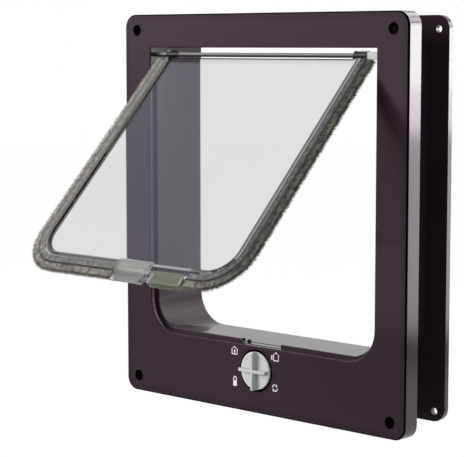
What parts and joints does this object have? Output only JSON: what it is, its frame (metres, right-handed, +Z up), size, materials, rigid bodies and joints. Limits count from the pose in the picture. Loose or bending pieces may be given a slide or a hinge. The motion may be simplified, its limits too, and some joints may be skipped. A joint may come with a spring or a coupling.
{
  "type": "cat flap",
  "caption": "Square cat flap for a door: a clear swinging panel with pile seals in a framed tunnel, an outer frame, and a rotary lock in the sill that blocks it either way.",
  "frame": {"origin": "middle of the four door screw holes, on the back of the face frame where it meets the door", "axes": "+Z up, +Y from the room through the door to the outside, +X to the right seen from the room"},
  "size_m": [0.235, 0.1669, 0.25],
  "materials": {
    "plum_plastic": "gloss moulded",
    "grey_plastic": "satin moulded",
    "dark_plastic": "matte",
    "clear_plastic": "clear polished",
    "tinted_plastic": "clear, slightly green",
    "pile": "brushed pile",
    "steel": "bright drawn",
    "magnet": "sintered"
  },
  "bodies": {
    "frame": {"front_frame": "plum_plastic", "rear_frame": "plum_plastic", "hinge_keeper": "grey_plastic", "sill_magnet": "magnet", "lock_washer": "dark_plastic"},
    "flap": {"flap_panel": "clear_plastic", "left_pile": "pile", "right_pile": "pile", "hinge_rod": "steel", "magnet_housing": "tinted_plastic", "flap_magnet": "magnet"},
    "lock": {"lock_knob": "grey_plastic", "front_stop": "dark_plastic", "rear_stop": "dark_plastic", "lock_screw": "steel"}
  },
  "joints": [
    {"name": "flap_hinge", "type": "hinge", "parent": "frame", "child": "flap", "pos_m": [0, -0.005, 0.0991], "axis": [1, 0, 0], "range_deg": [-36, 124]},
    {"name": "lock_dial", "type": "hinge", "parent": "frame", "child": "lock", "pos_m": [0, -0.0115, -0.0978], "axis": [0, 1, 0], "continuous": true}
  ]
}
